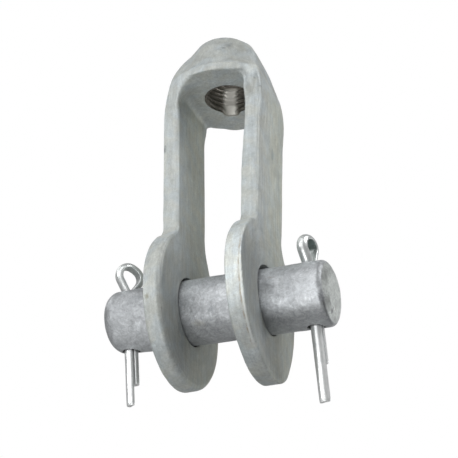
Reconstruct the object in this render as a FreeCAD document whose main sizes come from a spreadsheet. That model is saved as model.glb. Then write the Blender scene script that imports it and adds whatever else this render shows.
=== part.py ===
import FreeCAD, Part
import os
import math
import Sketcher

# Pipe hanger clevis: a one-piece forged yoke with a tapped conical head, two flat arms and two
# round ears; a plain round pin through the ears; and a split cotter through each end of the pin.
#
# Every piece is drawn about the pin's axis: X runs along the pin, Z up the arms to the head, and
# Y across the flats. Placements then carry it to the part's own origin, which is the mouth of the
# tapped hole on top of the head, where the hanger rod screws in. All sizes are in millimetres.

doc = FreeCAD.newDocument("pipe_hanger_clevis")
V = FreeCAD.Vector
Rot = FreeCAD.Rotation

# ---------------------------------------------------------------- driving dimensions
sheet = doc.addObject("Spreadsheet::Sheet", "dims")
ROWS = [
    # yoke
    ("yoke_half_width", 19.7, "outer face of an arm from the middle plane"),
    ("arm_thick", 6.35, "quarter inch bar"),
    ("arm_width", 28.0, "width of the arms across the flats"),
    ("ear_radius", 31.1, "outer radius of the round ears"),
    ("ear_neck_fillet", 6.0, "concave radius where an arm runs into its ear"),
    ("eye_radius", 13.5, "radius of the pin hole in each ear"),
    ("under_height", 97.5, "pin axis to the underside of the head"),
    ("bend_inner", 3.0, "radius between an arm and the underside"),
    ("shoulder_radius", 15.5, "outer bend of the arms"),
    ("shoulder_top", 111.5, "height of the strap above the pin axis"),
    ("head_base_radius", 22.2, "radius of the head at its foot"),
    ("head_top_radius", 13.1, "radius of the head below its rounded upper edge"),
    ("head_top", 120.3, "pin axis to the top of the head"),
    ("head_base_round", 0.8, "rounding of the head's lower edge"),
    ("head_wall", 3.5, "upright band round the head's foot"),
    ("head_top_round", 0.8, "rounding of the head's upper edge"),
    ("arm_edge_round", 1.0, "rounding of the long edges of the strap"),
    ("rod_bore_radius", 11.11, "root radius of the 7/8 in rod thread"),
    ("eye_round", 0.6, "softened mouths of the pin hole"),
    ("rod_bore_chamfer", 0.7, "chamfer at the lower mouth of the tapped hole"),
    # pin
    ("pin_radius", 12.7, "one inch round bar"),
    ("pin_length", 92.0, "overall length of the pin"),
    ("pin_bevel_radial", 3.4, "end bevel, across"),
    ("pin_bevel_axial", 1.6, "end bevel, along"),
    ("pin_roll", 12.0, "how far the pin is turned in its ears, in degrees"),
    ("cotter_hole_radius", 3.4, "hole for a cotter"),
    ("cotter_hole_offset", 37.95, "cotter hole from the middle of the pin"),
    # cotters
    ("wire_radius", 2.45, "half-round cotter wire"),
    ("leg_gap_half", 0.3, "half of the gap between the two flats"),
    ("loop_inner_radius", 3.5, "inside radius of the cotter's eye"),
    ("loop_height", 18.3, "centre of the eye above the pin's axis"),
    ("loop_neck_radius", 3.5, "bend between the legs and the eye"),
    ("left_long_leg", 33.5, "long leg's end below the pin's axis"),
    ("left_short_leg", 25.3, "short leg's end below the pin's axis"),
    ("right_long_leg", 40.5, "long leg's end below the pin's axis"),
    ("right_short_leg", 27.1, "short leg's end below the pin's axis"),
    ("left_twist", 225.0, "turn of the left cotter about its own axis, in degrees"),
    ("right_twist", 253.0, "turn of the right cotter about its own axis, in degrees"),
    ("left_lean", 0.3, "how far the left cotter leans in its hole, in degrees"),
    ("right_lean", -2.7, "how far the right cotter leans in its hole, in degrees"),
]
for i, (alias, value, note) in enumerate(ROWS, start=1):
    sheet.set("A%d" % i, alias.replace("_", " "))
    sheet.set("B%d" % i, repr(float(value)))
    sheet.set("C%d" % i, note)
    sheet.setAlias("B%d" % i, alias)
doc.recompute()


def D(name):
    return float(getattr(sheet, name))


def new_body(label):
    body = doc.addObject("PartDesign::Body", label)
    body.Label = label
    return body


def plane(body, role):
    for o in body.Origin.OriginFeatures:
        if o.Role == role:
            return o
    raise RuntimeError(role)


def sketch_on(body, name, role):
    sk = body.newObject("Sketcher::SketchObject", name)
    sk.AttachmentSupport = [(plane(body, role), "")]
    sk.MapMode = "FlatFace"
    return sk


def ln(sk, a, b):
    return sk.addGeometry(Part.LineSegment(V(a[0], a[1], 0), V(b[0], b[1], 0)), False)


def arc(sk, c, r, a0, a1):
    return sk.addGeometry(Part.ArcOfCircle(Part.Circle(V(c[0], c[1], 0), V(0, 0, 1), r), a0, a1), False)


def fix(sk, kind, *args):
    return sk.addConstraint(Sketcher.Constraint(kind, *args))


def named(sk, name, expr, kind, *args):
    i = sk.addConstraint(Sketcher.Constraint(kind, *args))
    sk.renameConstraint(i, name)
    sk.setExpression("Constraints." + name, expr)
    return i


def check_tip(body, what):
    doc.recompute()
    for o in doc.Objects:
        if o.TypeId == "Sketcher::SketchObject" and (o.RedundantConstraints or o.ConflictingConstraints or o.FullyConstrained is False):
            print("sketch", o.Name, "redundant", o.RedundantConstraints, "conflicting", o.ConflictingConstraints,
                  "fully", o.FullyConstrained)
    bad = [o.Name for o in doc.Objects if "Invalid" in o.State or "Error" in o.State]
    if bad:
        raise RuntimeError("%s: failed %s" % (what, bad))
    s = body.Shape
    if s.isNull() or not s.isValid() or not s.Solids:
        raise RuntimeError("%s: bad shape" % what)
    print("%-26s volume %.1f mm3, solids %d, faces %d" % (what, s.Volume, len(s.Solids), len(s.Faces)))
    return s.Volume


# ================================================================= yoke
yoke = new_body("clevis_yoke")

# The strap seen from the front: two arms and the bridge over them, with the outer shoulders bent
# on a large radius. It starts as wide as the ears.
hw, t = D("yoke_half_width"), D("arm_thick")
hi = hw - t
zu, zt = D("under_height"), D("shoulder_top")
rs, rb = D("shoulder_radius"), D("bend_inner")
re = D("ear_radius")
s = sketch_on(yoke, "strap_front", "XZ_Plane")
P = [(-hw, -re), (-hw, zt - rs), (-hw + rs, zt), (hw - rs, zt), (hw, zt - rs), (hw, -re),
     (hi, -re), (hi, zu - rb), (hi - rb, zu), (-hi + rb, zu), (-hi, zu - rb), (-hi, -re)]
g = []
g.append(ln(s, P[0], P[1]))                                          # 0 left outer
g.append(arc(s, (-hw + rs, zt - rs), rs, math.pi / 2, math.pi))      # 1 left shoulder
g.append(ln(s, P[2], P[3]))                                          # 2 top
g.append(arc(s, (hw - rs, zt - rs), rs, 0, math.pi / 2))             # 3 right shoulder
g.append(ln(s, P[4], P[5]))                                          # 4 right outer
g.append(ln(s, P[5], P[6]))                                          # 5 right foot
g.append(ln(s, P[6], P[7]))                                          # 6 right inner
g.append(arc(s, (hi - rb, zu - rb), rb, 0, math.pi / 2))             # 7 right bend
g.append(ln(s, P[8], P[9]))                                          # 8 underside
g.append(arc(s, (-hi + rb, zu - rb), rb, math.pi / 2, math.pi))      # 9 left bend
g.append(ln(s, P[10], P[11]))                                        # 10 left inner
g.append(ln(s, P[11], P[0]))                                         # 11 left foot
for a, pa, b, pb in [(0, 2, 1, 2), (1, 1, 2, 1), (2, 2, 3, 2), (3, 1, 4, 1), (6, 2, 7, 1),
                     (7, 2, 8, 1), (8, 2, 9, 1), (9, 2, 10, 1)]:
    fix(s, "Tangent", a, pa, b, pb)
for a, pa, b, pb in [(4, 2, 5, 1), (5, 2, 6, 1), (10, 2, 11, 1), (11, 2, 0, 1)]:
    fix(s, "Coincident", a, pa, b, pb)
for i in (0, 4, 6, 10):
    fix(s, "Vertical", i)
for i in (2, 8, 5):
    fix(s, "Horizontal", i)
fix(s, "Equal", 1, 3)
fix(s, "Equal", 7, 9)
fix(s, "Symmetric", 0, 1, 4, 2, -2)
fix(s, "Symmetric", 6, 1, 10, 2, -2)
named(s, "half_out", "dims.yoke_half_width", "DistanceX", -1, 1, 4, 2, hw)
named(s, "half_in", "dims.yoke_half_width - dims.arm_thick", "DistanceX", -1, 1, 6, 1, hi)
named(s, "foot", "dims.ear_radius", "DistanceY", 4, 2, -1, 1, re)
named(s, "top_z", "dims.shoulder_top", "DistanceY", -1, 1, 2, 1, zt)
named(s, "under_z", "dims.under_height", "DistanceY", -1, 1, 8, 1, zu)
named(s, "shoulder", "dims.shoulder_radius", "Radius", 1, rs)
named(s, "bend", "dims.bend_inner", "Radius", 7, rb)
pad = yoke.newObject("PartDesign::Pad", "strap")
pad.Profile = s
pad.Midplane = True
pad.setExpression("Length", "2 * dims.ear_radius")
s.Visibility = False
v0 = check_tip(yoke, "strap, full width")

# The strap seen from the side: round ears of ear_radius, arms of arm_width above them, and the
# concave necks between. What lies outside that outline is cut away.
aw, rf = D("arm_width") / 2, D("ear_neck_fillet")
zc = math.sqrt((re + rf) ** 2 - (aw + rf) ** 2)
ang = math.atan2(zc, aw + rf)
box_z, box_y, zb = zt + 10, re + 12, -re - 10
s = sketch_on(yoke, "side_outline", "YZ_Plane")
# inner contour, counter-clockwise from the right neck
ln(s, (aw, zc), (aw, zt + 5))                                         # 0 right arm edge
ln(s, (aw, zt + 5), (-aw, zt + 5))                                    # 1 over the head
ln(s, (-aw, zt + 5), (-aw, zc))                                       # 2 left arm edge
arc(s, (-aw - rf, zc), rf, -ang, 0)                                   # 3 left neck
arc(s, (0, 0), re, math.pi - ang, 2 * math.pi + ang)                  # 4 ear
arc(s, (aw + rf, zc), rf, math.pi, math.pi + ang)                     # 5 right neck
# outer frame
ln(s, (-box_y, zb), (box_y, zb))                                      # 6
ln(s, (box_y, zb), (box_y, box_z))                                    # 7
ln(s, (box_y, box_z), (-box_y, box_z))                                # 8
ln(s, (-box_y, box_z), (-box_y, zb))                                  # 9
fix(s, "Coincident", 0, 2, 1, 1)
fix(s, "Coincident", 1, 2, 2, 1)
fix(s, "Tangent", 2, 2, 3, 2)
fix(s, "Tangent", 3, 1, 4, 1)
fix(s, "Tangent", 4, 2, 5, 2)
fix(s, "Tangent", 5, 1, 0, 1)
for a, b in [(6, 7), (7, 8), (8, 9), (9, 6)]:
    fix(s, "Coincident", a, 2, b, 1)
for i in (0, 2, 7, 9):
    fix(s, "Vertical", i)
fix(s, "Horizontal", 8)
fix(s, "Coincident", 4, 3, -1, 1)
fix(s, "Equal", 3, 5)
fix(s, "Symmetric", 0, 2, 1, 2, -2)
fix(s, "Symmetric", 6, 1, 6, 2, -2)
named(s, "ear_r", "dims.ear_radius", "Radius", 4, re)
named(s, "neck_r", "dims.ear_neck_fillet", "Radius", 5, rf)
named(s, "arm_half", "dims.arm_width / 2", "DistanceX", -1, 1, 0, 1, aw)
named(s, "over", "dims.shoulder_top + 5", "DistanceY", -1, 1, 1, 1, zt + 5)
named(s, "frame_low", "dims.ear_radius + 10", "DistanceY", 6, 1, -1, 1, re + 10)
named(s, "frame_high", "dims.shoulder_top + 10", "DistanceY", -1, 1, 8, 1, box_z)
named(s, "frame_wide", "dims.ear_radius + 12", "DistanceX", -1, 1, 6, 2, box_y)
cut = yoke.newObject("PartDesign::Pocket", "trim_sides")
cut.Profile = s
cut.Type = "ThroughAll"
cut.Midplane = True
s.Visibility = False
v1 = check_tip(yoke, "trimmed to ears and arms")
if not v1 < 0.8 * v0:
    raise RuntimeError("the side trim removed nothing")

def edges_where(shape, test):
    return ["Edge%d" % (i + 1) for i, e in enumerate(shape.Edges) if test(e)]


def faces_of(shape, edge):
    return [f for f in shape.Faces if any(edge.isSame(x) for x in f.Edges)]


def mid(e):
    return e.valueAt((e.FirstParameter + e.LastParameter) / 2)


def near(a, b, tol=0.02):
    return abs(a - b) < tol


def dress(body, kind, name, prop, expr, test):
    base = body.Tip
    names = edges_where(base.Shape, test)
    if not names:
        raise RuntimeError(name + ": no edges found")
    f = body.newObject("PartDesign::" + kind, name)
    f.Base = (base, names)
    f.setExpression(prop, expr)
    check_tip(body, "%s (%d edges)" % (name, len(names)))
    return f


# Rounding along every long edge of the strap, round the ears and over the shoulders.
def strap_edge(e):
    p = mid(e)
    c = type(e.Curve).__name__
    if c == "Line":
        return near(abs(p.y), aw) and (near(abs(p.x), hw) or near(abs(p.x), hi) or p.z > zu - 0.1)
    if near(e.Curve.Radius, re) or near(e.Curve.Radius, rf):
        return True
    return near(abs(p.y), aw)


dress(yoke, "Fillet", "strap_rounding", "Radius", "dims.arm_edge_round", strap_edge)

# The tapped head: a stout tapering boss on the bridge. Its foot is a round disc that runs into the
# strap's corners on concave flanks, with a short upright band, and its top is a plain circle. It is
# drawn in level sections, two of them close together at each end for the softened edges.
def foot_section(name, inset_expr, inset, z_expr):
    k = " - " + inset_expr if inset_expr else ""
    x0, y0, q0 = hw - inset, aw - inset, D("head_base_radius") - inset
    f = (x0 * x0 + y0 * y0 - q0 * q0) / (2 * (q0 - y0))
    a = math.atan2(y0 + f, x0)
    s = sketch_on(yoke, name, "XY_Plane")
    s.setExpression("AttachmentOffset.Base.z", z_expr)
    ln(s, (x0, -y0), (x0, y0))                                                 # 0 right side
    arc(s, (x0, y0 + f), f, math.pi + a, 1.5 * math.pi)                        # 1 right back flank
    arc(s, (0, 0), q0, a, math.pi - a)                                         # 2 back of the disc
    arc(s, (-x0, y0 + f), f, 1.5 * math.pi, 2 * math.pi - a)                   # 3 left back flank
    ln(s, (-x0, y0), (-x0, -y0))                                               # 4 left side
    arc(s, (-x0, -y0 - f), f, a, math.pi / 2)                                  # 5 left front flank
    arc(s, (0, 0), q0, math.pi + a, 2 * math.pi - a)                           # 6 front of the disc
    arc(s, (x0, -y0 - f), f, math.pi / 2, math.pi - a)                         # 7 right front flank
    fix(s, "Coincident", 2, 3, -1, 1)
    fix(s, "Coincident", 6, 3, -1, 1)
    fix(s, "Coincident", 0, 2, 1, 2)
    fix(s, "Tangent", 1, 1, 2, 1)
    fix(s, "Tangent", 2, 2, 3, 2)
    fix(s, "Coincident", 3, 1, 4, 1)
    fix(s, "Coincident", 4, 2, 5, 2)
    fix(s, "Tangent", 5, 1, 6, 1)
    fix(s, "Tangent", 6, 2, 7, 2)
    fix(s, "Coincident", 7, 1, 0, 1)
    named(s, "disc_r", "dims.head_base_radius" + k, "Radius", 2, q0)
    fix(s, "Equal", 2, 6)
    fix(s, "Vertical", 0)
    fix(s, "Vertical", 4)
    fix(s, "Vertical", 1, 3, 1, 2)
    fix(s, "Vertical", 3, 3, 3, 1)
    fix(s, "Vertical", 5, 3, 5, 2)
    fix(s, "Vertical", 7, 3, 7, 1)
    named(s, "right_x", "dims.yoke_half_width" + k, "DistanceX", -1, 1, 0, 2, x0)
    named(s, "left_x", "dims.yoke_half_width" + k, "DistanceX", 4, 1, -1, 1, x0)
    named(s, "back_y", "dims.arm_width / 2" + k, "DistanceY", -1, 1, 0, 2, y0)
    named(s, "front_y", "dims.arm_width / 2" + k, "DistanceY", 0, 1, -1, 1, y0)
    named(s, "back_left_y", "dims.arm_width / 2" + k, "DistanceY", -1, 1, 4, 1, y0)
    named(s, "front_left_y", "dims.arm_width / 2" + k, "DistanceY", 4, 2, -1, 1, y0)
    return s, a, math.atan2(y0, x0)


def crown_section(name, r_expr, r, z_expr, th, tc):
    s = sketch_on(yoke, name, "XY_Plane")
    s.setExpression("AttachmentOffset.Base.z", z_expr)
    stops = [-tc, tc, th, math.pi - th, math.pi - tc, math.pi + tc, math.pi + th, 2 * math.pi - th,
             2 * math.pi - tc]
    for i in range(8):
        arc(s, (0, 0), r, stops[i], stops[i + 1])
    fix(s, "Coincident", 0, 3, -1, 1)
    for i in range(1, 8):
        fix(s, "Coincident", i, 3, 0, 3)
    for i in range(7):
        fix(s, "Coincident", i, 2, i + 1, 1)
    fix(s, "Horizontal", 7, 2, 0, 1)
    named(s, "crown_r", r_expr, "Radius", 0, r)
    return s


br2 = D("head_base_round")
foot0, _, _ = foot_section("head_foot", "dims.head_base_round", br2, "dims.under_height")
foot1, _, _ = foot_section("head_edge", "0.3 * dims.head_base_round", 0.3 * br2,
                           "dims.under_height + 0.3 * dims.head_base_round")
foot2, th, tc = foot_section("head_flank", "", 0.0, "dims.under_height + dims.head_base_round")
foot3, _, _ = foot_section("head_band", "", 0.0, "dims.under_height + dims.head_wall")
crown0 = crown_section("head_shoulder", "dims.head_top_radius", D("head_top_radius"),
                       "dims.head_top - dims.head_top_round", th, tc)
crown1 = crown_section("head_crown", "dims.head_top_radius - dims.head_top_round",
                       D("head_top_radius") - D("head_top_round"), "dims.head_top", th, tc)
zh = D("head_top")
v1 = yoke.Tip.Shape.Volume
loft = yoke.newObject("PartDesign::AdditiveLoft", "head_boss")
loft.Profile = foot0
loft.Sections = [foot1, foot2, foot3, crown0, crown1]
loft.Ruled = True
for o in (foot0, foot1, foot2, foot3, crown0, crown1):
    o.Visibility = False
v2 = check_tip(yoke, "with the head")
if not v2 > v1 + 5000:
    raise RuntimeError("the head added nothing")


# Pin hole through both ears.
s = sketch_on(yoke, "pin_eye", "YZ_Plane")
s.addGeometry(Part.Circle(V(0, 0, 0), V(0, 0, 1), D("eye_radius")), False)
fix(s, "Coincident", 0, 3, -1, 1)
named(s, "eye_r", "dims.eye_radius", "Radius", 0, D("eye_radius"))
v = yoke.Tip.Shape.Volume
cut = yoke.newObject("PartDesign::Pocket", "pin_eyes")
cut.Profile = s
cut.Type = "ThroughAll"
cut.Midplane = True
s.Visibility = False
w = check_tip(yoke, "pin eyes")
want = math.pi * D("eye_radius") ** 2 * 2 * D("arm_thick")
if not near(v - w, want, want * 0.01):
    raise RuntimeError("pin eyes removed %.1f, not %.1f" % (v - w, want))

dress(yoke, "Fillet", "eye_mouths", "Radius", "dims.eye_round",
      lambda e: type(e.Curve).__name__ == "Circle" and near(e.Curve.Radius, D("eye_radius")))

# Tapped hole down the middle of the head, at the thread's root radius.
s = sketch_on(yoke, "rod_bore", "XY_Plane")
s.setExpression("AttachmentOffset.Base.z", "dims.head_top")
s.addGeometry(Part.Circle(V(0, 0, 0), V(0, 0, 1), D("rod_bore_radius")), False)
fix(s, "Coincident", 0, 3, -1, 1)
named(s, "bore_r", "dims.rod_bore_radius", "Radius", 0, D("rod_bore_radius"))
v = yoke.Tip.Shape.Volume
cut = yoke.newObject("PartDesign::Pocket", "rod_hole")
cut.Profile = s
cut.Type = "Length"
cut.setExpression("Length", "dims.head_top - dims.under_height + 2")
s.Visibility = False
w = check_tip(yoke, "rod hole")
want = math.pi * D("rod_bore_radius") ** 2 * (zh - zu)
if not near(v - w, want, want * 0.01):
    raise RuntimeError("rod hole removed %.1f, not %.1f" % (v - w, want))
dress(yoke, "Chamfer", "rod_hole_lead", "Size", "dims.rod_bore_chamfer",
      lambda e: type(e.Curve).__name__ == "Circle" and near(e.Curve.Radius, D("rod_bore_radius"))
      and near(mid(e).z, zu))

# ================================================================= pin
pin = new_body("clevis_pin")
half, pr, br, ba = D("pin_length") / 2, D("pin_radius"), D("pin_bevel_radial"), D("pin_bevel_axial")
s = sketch_on(pin, "pin_section", "XZ_Plane")
Q = [(-half, 0), (-half, pr - br), (-half + ba, pr), (half - ba, pr), (half, pr - br), (half, 0)]
for i in range(6):
    ln(s, Q[i], Q[(i + 1) % 6])
for i in range(6):
    fix(s, "Coincident", i, 2, (i + 1) % 6, 1)
fix(s, "Vertical", 0)
fix(s, "PointOnObject", 0, 1, -1)
fix(s, "Symmetric", 0, 1, 4, 2, -2)
fix(s, "Symmetric", 1, 1, 4, 1, -2)
fix(s, "Symmetric", 2, 1, 2, 2, -2)
named(s, "length", "dims.pin_length", "DistanceX", 0, 1, 4, 2, 2 * half)
named(s, "radius", "dims.pin_radius", "DistanceY", -1, 1, 2, 1, pr)
named(s, "bevel_across", "dims.pin_bevel_radial", "DistanceY", 1, 1, 1, 2, br)
named(s, "bevel_along", "dims.pin_bevel_axial", "DistanceX", 1, 1, 1, 2, ba)
rev = pin.newObject("PartDesign::Revolution", "round_bar")
rev.Profile = s
rev.ReferenceAxis = (s, ["H_Axis"])
rev.Angle = 360.0
s.Visibility = False
v = check_tip(pin, "round bar")
s = sketch_on(pin, "cotter_holes", "XY_Plane")
for i, sx in enumerate((-1, 1)):
    s.addGeometry(Part.Circle(V(sx * D("cotter_hole_offset"), 0, 0), V(0, 0, 1), D("cotter_hole_radius")), False)
fix(s, "PointOnObject", 0, 3, -1)
fix(s, "Symmetric", 0, 3, 1, 3, -2)
fix(s, "Equal", 0, 1)
named(s, "hole_r", "dims.cotter_hole_radius", "Radius", 0, D("cotter_hole_radius"))
named(s, "hole_x", "dims.cotter_hole_offset", "DistanceX", -1, 1, 1, 3, D("cotter_hole_offset"))
cut = pin.newObject("PartDesign::Pocket", "cross_holes")
cut.Profile = s
cut.Type = "ThroughAll"
cut.Midplane = True
s.Visibility = False
w = check_tip(pin, "cross holes")
if not v - w > 1.5 * math.pi * D("cotter_hole_radius") ** 2 * pr:
    raise RuntimeError("cross holes removed too little")

# ================================================================= split cotters
# A half-round wire with its flat inward: straight long leg, neck, round eye, neck, short leg.
def make_cotter(label, long_alias, short_alias):
    body = new_body(label)
    gh, ri, zc2, rn, wr = (D("leg_gap_half"), D("loop_inner_radius"), D("loop_height"),
                           D("loop_neck_radius"), D("wire_radius"))
    lo, sh = D(long_alias), D(short_alias)
    dz = math.sqrt((rn + ri) ** 2 - (gh + rn) ** 2)
    z0 = zc2 - dz
    a = math.atan2(dz, gh + rn)
    sp = sketch_on(body, label + "_route", "XZ_Plane")
    ln(sp, (gh, -lo), (gh, z0))                                                # 0 long leg
    arc(sp, (gh + rn, z0), rn, math.pi - a, math.pi)                           # 1 neck
    arc(sp, (0, zc2), ri, -a, math.pi + a)                                     # 2 eye
    arc(sp, (-gh - rn, z0), rn, 0, a)                                          # 3 neck
    ln(sp, (-gh, z0), (-gh, -sh))                                              # 4 short leg
    fix(sp, "Vertical", 0)
    fix(sp, "Vertical", 4)
    fix(sp, "Tangent", 0, 2, 1, 2)
    fix(sp, "Tangent", 1, 1, 2, 1)
    fix(sp, "Tangent", 2, 2, 3, 2)
    fix(sp, "Tangent", 3, 1, 4, 1)
    fix(sp, "Equal", 1, 3)
    fix(sp, "PointOnObject", 2, 3, -2)
    named(sp, "gap_r", "dims.leg_gap_half", "DistanceX", -1, 1, 0, 1, gh)
    named(sp, "gap_l", "dims.leg_gap_half", "DistanceX", 4, 2, -1, 1, gh)
    named(sp, "eye_z", "dims.loop_height", "DistanceY", -1, 1, 2, 3, zc2)
    named(sp, "eye_r", "dims.loop_inner_radius", "Radius", 2, ri)
    named(sp, "neck_r", "dims.loop_neck_radius", "Radius", 1, rn)
    named(sp, "long_end", "dims." + long_alias, "DistanceY", 0, 1, -1, 1, lo)
    named(sp, "short_end", "dims." + short_alias, "DistanceY", 4, 2, -1, 1, sh)
    pf = sketch_on(body, label + "_wire", "XY_Plane")
    pf.setExpression("AttachmentOffset.Base.z", "-dims." + long_alias)
    arc(pf, (gh, 0), wr, -math.pi / 2, math.pi / 2)
    ln(pf, (gh, wr), (gh, -wr))
    fix(pf, "Coincident", 0, 2, 1, 1)
    fix(pf, "Coincident", 0, 1, 1, 2)
    fix(pf, "Vertical", 1)
    fix(pf, "PointOnObject", 0, 3, -1)
    fix(pf, "PointOnObject", 0, 3, 1)
    named(pf, "wire_r", "dims.wire_radius", "Radius", 0, wr)
    named(pf, "flat_x", "dims.leg_gap_half", "DistanceX", -1, 1, 0, 3, gh)
    doc.recompute()
    pipe = body.newObject("PartDesign::AdditivePipe", label + "_sweep")
    pipe.Profile = pf
    pipe.Spine = sp
    pipe.Mode = "Standard"
    sp.Visibility = False
    pf.Visibility = False
    v = check_tip(body, label)
    # the section's centroid lies 4r/3pi outside the flat
    area = math.pi * wr * wr / 2
    off = 4 * wr / (3 * math.pi)
    length = (lo + z0) + (sh + z0) + 2 * (rn - off) * a + (ri + off) * (math.pi + 2 * a)
    if not near(v, area * length, area * length * 0.02):
        raise RuntimeError("%s volume %.1f, expected %.1f" % (label, v, area * length))
    return body


left = make_cotter("cotter_pin_left", "left_long_leg", "left_short_leg")
right = make_cotter("cotter_pin_right", "right_long_leg", "right_short_leg")

# ---------------------------------------------------------------- placements
# The pin is rolled back in its ears, and each cotter stands in its hole, leaning a little and turned
# about its own length. The whole part hangs from the origin at the top of the tapped hole.
def place(body, x, twist, lean):
    roll = D("pin_roll") if body is not yoke else 0.0
    base = Rot(V(1, 0, 0), roll)
    turn = base.multiply(Rot(V(0, 1, 0), lean)).multiply(Rot(V(0, 0, 1), twist))
    p = FreeCAD.Placement(base.multVec(V(x, 0, 0)) + V(0, 0, -D("head_top")), turn)
    body.Placement = p
    body.setExpression("Placement.Base.z", "-dims.head_top")


place(yoke, 0, 0, 0)
place(pin, 0, 0, 0)
place(left, -D("cotter_hole_offset"), D("left_twist"), D("left_lean"))
place(right, D("cotter_hole_offset"), D("right_twist"), D("right_lean"))
left.setExpression("Placement.Base.x", "-dims.cotter_hole_offset")
right.setExpression("Placement.Base.x", "dims.cotter_hole_offset")
doc.recompute()

# ---------------------------------------------------------------- output
os.makedirs("parts", exist_ok=True)
BODIES = [yoke, pin, left, right]
for o in doc.Objects:
    if "Invalid" in o.State or "Error" in o.State:
        raise RuntimeError("failed object: " + o.Name)
for b in BODIES:
    sh = b.Shape
    if sh.isNull() or not sh.isValid() or len(sh.Solids) != 1:
        raise RuntimeError("bad shape: " + b.Label)
for b in BODIES:
    bb = b.Shape.BoundBox
    print("%-18s x %.2f..%.2f  y %.2f..%.2f  z %.2f..%.2f  volume %.0f" % (
        b.Label, bb.XMin, bb.XMax, bb.YMin, bb.YMax, bb.ZMin, bb.ZMax, b.Shape.Volume))
    b.Shape.exportStep("parts/%s.step" % b.Label)
for i in range(len(BODIES)):
    for j in range(i + 1, len(BODIES)):
        c = BODIES[i].Shape.common(BODIES[j].Shape)
        print("common %s / %s: %.3f mm3, gap %.3f mm" % (BODIES[i].Label, BODIES[j].Label, c.Volume,
                                                        BODIES[i].Shape.distToShape(BODIES[j].Shape)[0]))
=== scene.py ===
import math

import bpy
import numpy as np
from mathutils import Matrix, Vector


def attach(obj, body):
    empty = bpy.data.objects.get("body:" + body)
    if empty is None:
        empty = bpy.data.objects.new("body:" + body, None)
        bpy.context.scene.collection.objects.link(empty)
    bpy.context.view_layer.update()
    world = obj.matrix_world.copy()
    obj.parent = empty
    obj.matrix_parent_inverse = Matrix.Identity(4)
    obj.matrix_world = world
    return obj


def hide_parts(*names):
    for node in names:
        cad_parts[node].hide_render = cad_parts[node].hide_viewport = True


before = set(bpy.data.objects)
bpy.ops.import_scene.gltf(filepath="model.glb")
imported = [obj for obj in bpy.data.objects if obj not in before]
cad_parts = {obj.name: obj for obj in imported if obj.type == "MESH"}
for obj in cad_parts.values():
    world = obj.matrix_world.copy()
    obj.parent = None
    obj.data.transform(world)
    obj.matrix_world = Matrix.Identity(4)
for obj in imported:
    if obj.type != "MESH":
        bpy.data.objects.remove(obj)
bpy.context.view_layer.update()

MM = 0.001
EYE = -120.3          # height of the pin's axis below the mouth of the tapped hole, mm
ROLL = math.radians(12)


# ---------------------------------------------------------------- distance fields

def both(a, b, r):
    """Inside a and inside b, with the edge between them rounded to radius r."""
    u = np.maximum(r + a, 0)
    v = np.maximum(r + b, 0)
    return np.minimum(-r, np.maximum(a, b)) + np.sqrt(u * u + v * v)


def either(a, b, r):
    """Inside a or inside b, with the corner between them filled to radius r."""
    u = np.maximum(r - a, 0)
    v = np.maximum(r - b, 0)
    return np.maximum(r, np.minimum(a, b)) - np.sqrt(u * u + v * v)


def ramp(v, lo, hi):
    t = np.clip((v - lo) / (hi - lo), 0, 1)
    return t * t * (3 - 2 * t)


def waves(seed, lengths, count):
    """A fixed smooth ripple: a sum of plane waves with the given range of wavelengths, about -1 to 1."""
    rng = np.random.default_rng(seed)
    d = rng.normal(size=(count, 3))
    d /= np.linalg.norm(d, axis=1)[:, None]
    k = 2 * np.pi / rng.uniform(lengths[0], lengths[1], count)
    ph = rng.uniform(0, 2 * np.pi, count)

    def f(x, y, z):
        s = 0
        for i in range(count):
            s = s + np.sin(k[i] * (d[i, 0] * x + d[i, 1] * y + d[i, 2] * z) + ph[i])
        return s / math.sqrt(count / 2) * 0.5
    return f


HALF, INNER, DEPTH = 19.75, 13.2, 14.0
UNDER, TOP = 97.2, 120.3
FOOT, BAND, CROWN = 22.7, 101.0, 12.9
HOLE, BORE = 13.55, 10.2
BORE_X, BORE_Y = 1.7, 0.25


def half_width(x, h):
    """Outer faces of the arms: opening a little towards the head, then leaning in over the shoulders."""
    up = np.maximum(h - 88, 0)
    return (HALF + 0.95 * np.clip((h - 25) / 63, 0, 1) - 0.0086 * up * up + 0.25 * ramp(h, 97, 104)
            + (x > 0) * (0.35 * ramp(h, 74, 86) * (1 - ramp(h, 96, 104)) - 0.35 * ramp(h, 99, 103) * (1 - ramp(h, 107, 112)))
            + (x < 0) * 0.35 * ramp(h, 30, 40) * (1 - ramp(h, 82, 92)))


def splay(y, h):
    """The right ear stands a little askew: its front edge further out than its back."""
    return (1 - ramp(h, -12, 14)) * (0.04 - 0.029 * y) + 0.85 * (1 - ramp(h, -30, -17))


def shift(h):
    return -0.4 * ramp(h, 20, 80) * (1 - ramp(h, 98, 112))


def sides(x, y, h):
    up = np.maximum(h - 88, 0)
    return (np.abs(x - shift(h)) - half_width(x, h) - (x > 0) * splay(y, h)) / np.sqrt(1 + (0.0172 * up) ** 2)


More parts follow.
